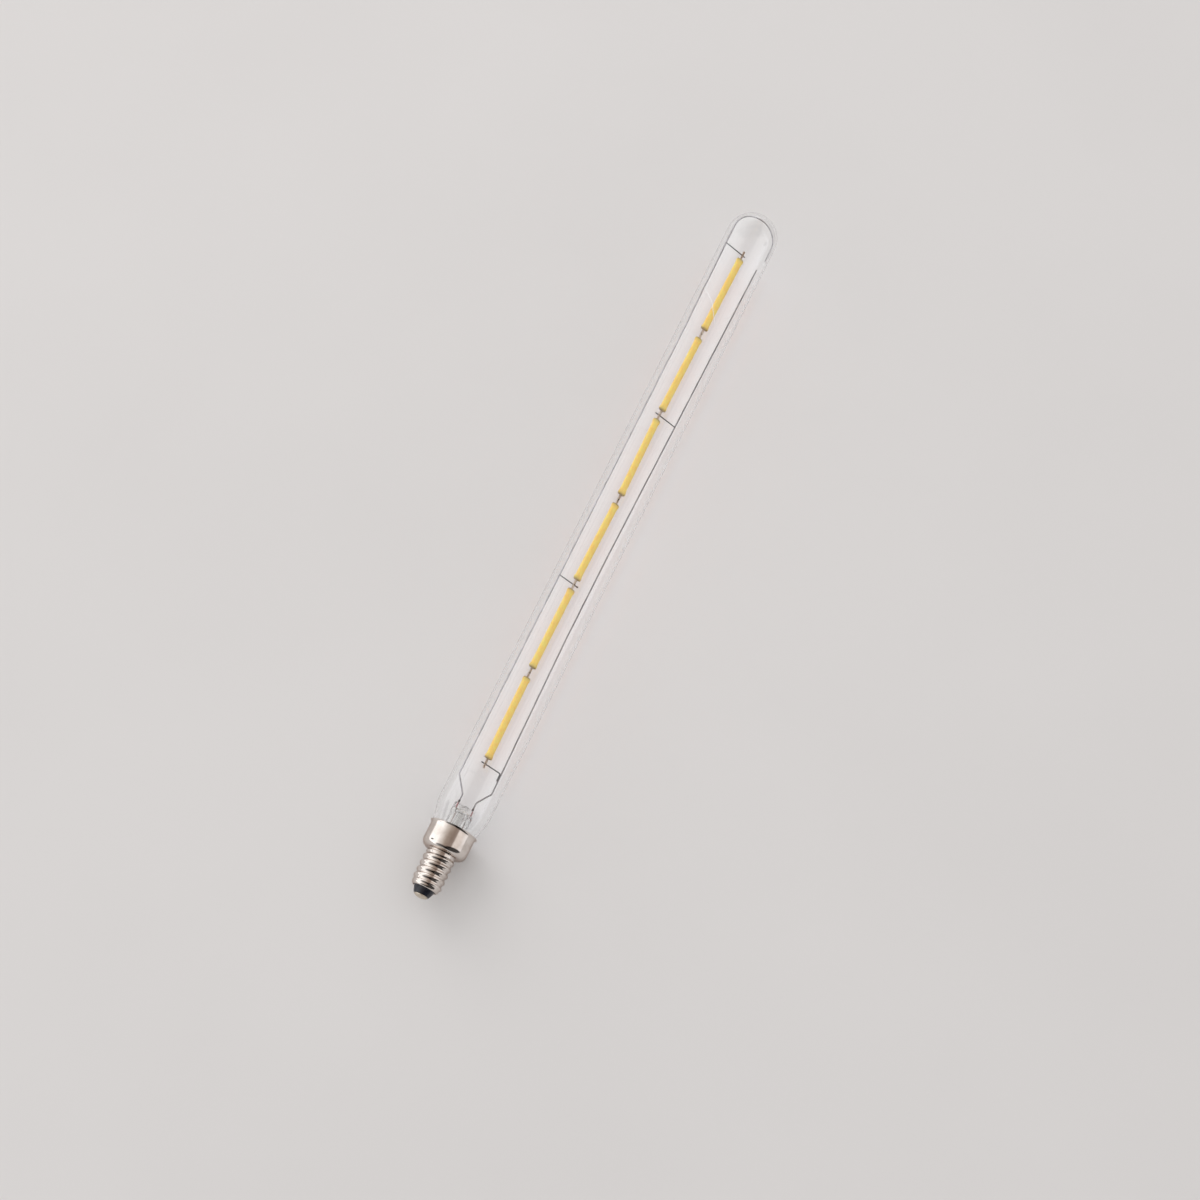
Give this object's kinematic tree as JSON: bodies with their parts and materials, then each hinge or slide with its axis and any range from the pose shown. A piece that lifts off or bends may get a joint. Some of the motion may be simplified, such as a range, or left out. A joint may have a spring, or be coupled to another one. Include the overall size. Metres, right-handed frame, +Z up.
{
  "type": "led filament bulb",
  "caption": "Tubular clear glass LED lamp with a chain of yellow filaments on a wire frame and a small screw base.",
  "frame": {"origin": "middle of the bulb's bounding box, at the height of the surface it lies on", "axes": "+X along the tube from the screw base to the dome, +Z up"},
  "size_m": [0.302, 0.0204, 0.0205],
  "materials": {
    "clear_glass": "polished",
    "black_glass": "gloss",
    "phosphor_coat": "matte",
    "cement": "matte",
    "board_laminate": "satin",
    "chip_resin": "matte",
    "capacitor_can": "satin",
    "fuse_body": "satin",
    "cap_nickel": "polished",
    "contact_solder": "satin",
    "lead_wire": "satin",
    "seal_wire": "satin",
    "copper_lead": "satin",
    "strip_metal": "satin"
  },
  "bodies": {
    "root": {"glass_tube": "clear_glass", "stem": "clear_glass", "exhaust_tube": "clear_glass", "long_lead_wire": "lead_wire", "short_lead_wire": "lead_wire", "cross_wire_foot": "lead_wire", "cross_wire_lower": "lead_wire", "cross_wire_upper": "lead_wire", "cross_wire_head": "lead_wire", "seal_wire_long": "seal_wire", "seal_wire_short": "seal_wire", "outer_lead_long": "copper_lead", "outer_lead_short": "copper_lead", "live_lead": "copper_lead", "neutral_lead": "copper_lead", "cap_shell": "cap_nickel", "insulator": "black_glass", "centre_contact": "contact_solder", "basing_cement": "cement", "driver_board": "board_laminate", "bridge_rectifier": "chip_resin", "current_regulator": "chip_resin", "smoothing_capacitor": "capacitor_can", "fuse_resistor": "fuse_body", "filament_coat_1": "phosphor_coat", "filament_strip_1": "strip_metal", "filament_coat_2": "phosphor_coat", "filament_strip_2": "strip_metal", "filament_coat_3": "phosphor_coat", "filament_strip_3": "strip_metal", "filament_coat_4": "phosphor_coat", "filament_strip_4": "strip_metal", "filament_coat_5": "phosphor_coat", "filament_strip_5": "strip_metal", "filament_coat_6": "phosphor_coat", "filament_strip_6": "strip_metal"}
  },
  "joints": []
}
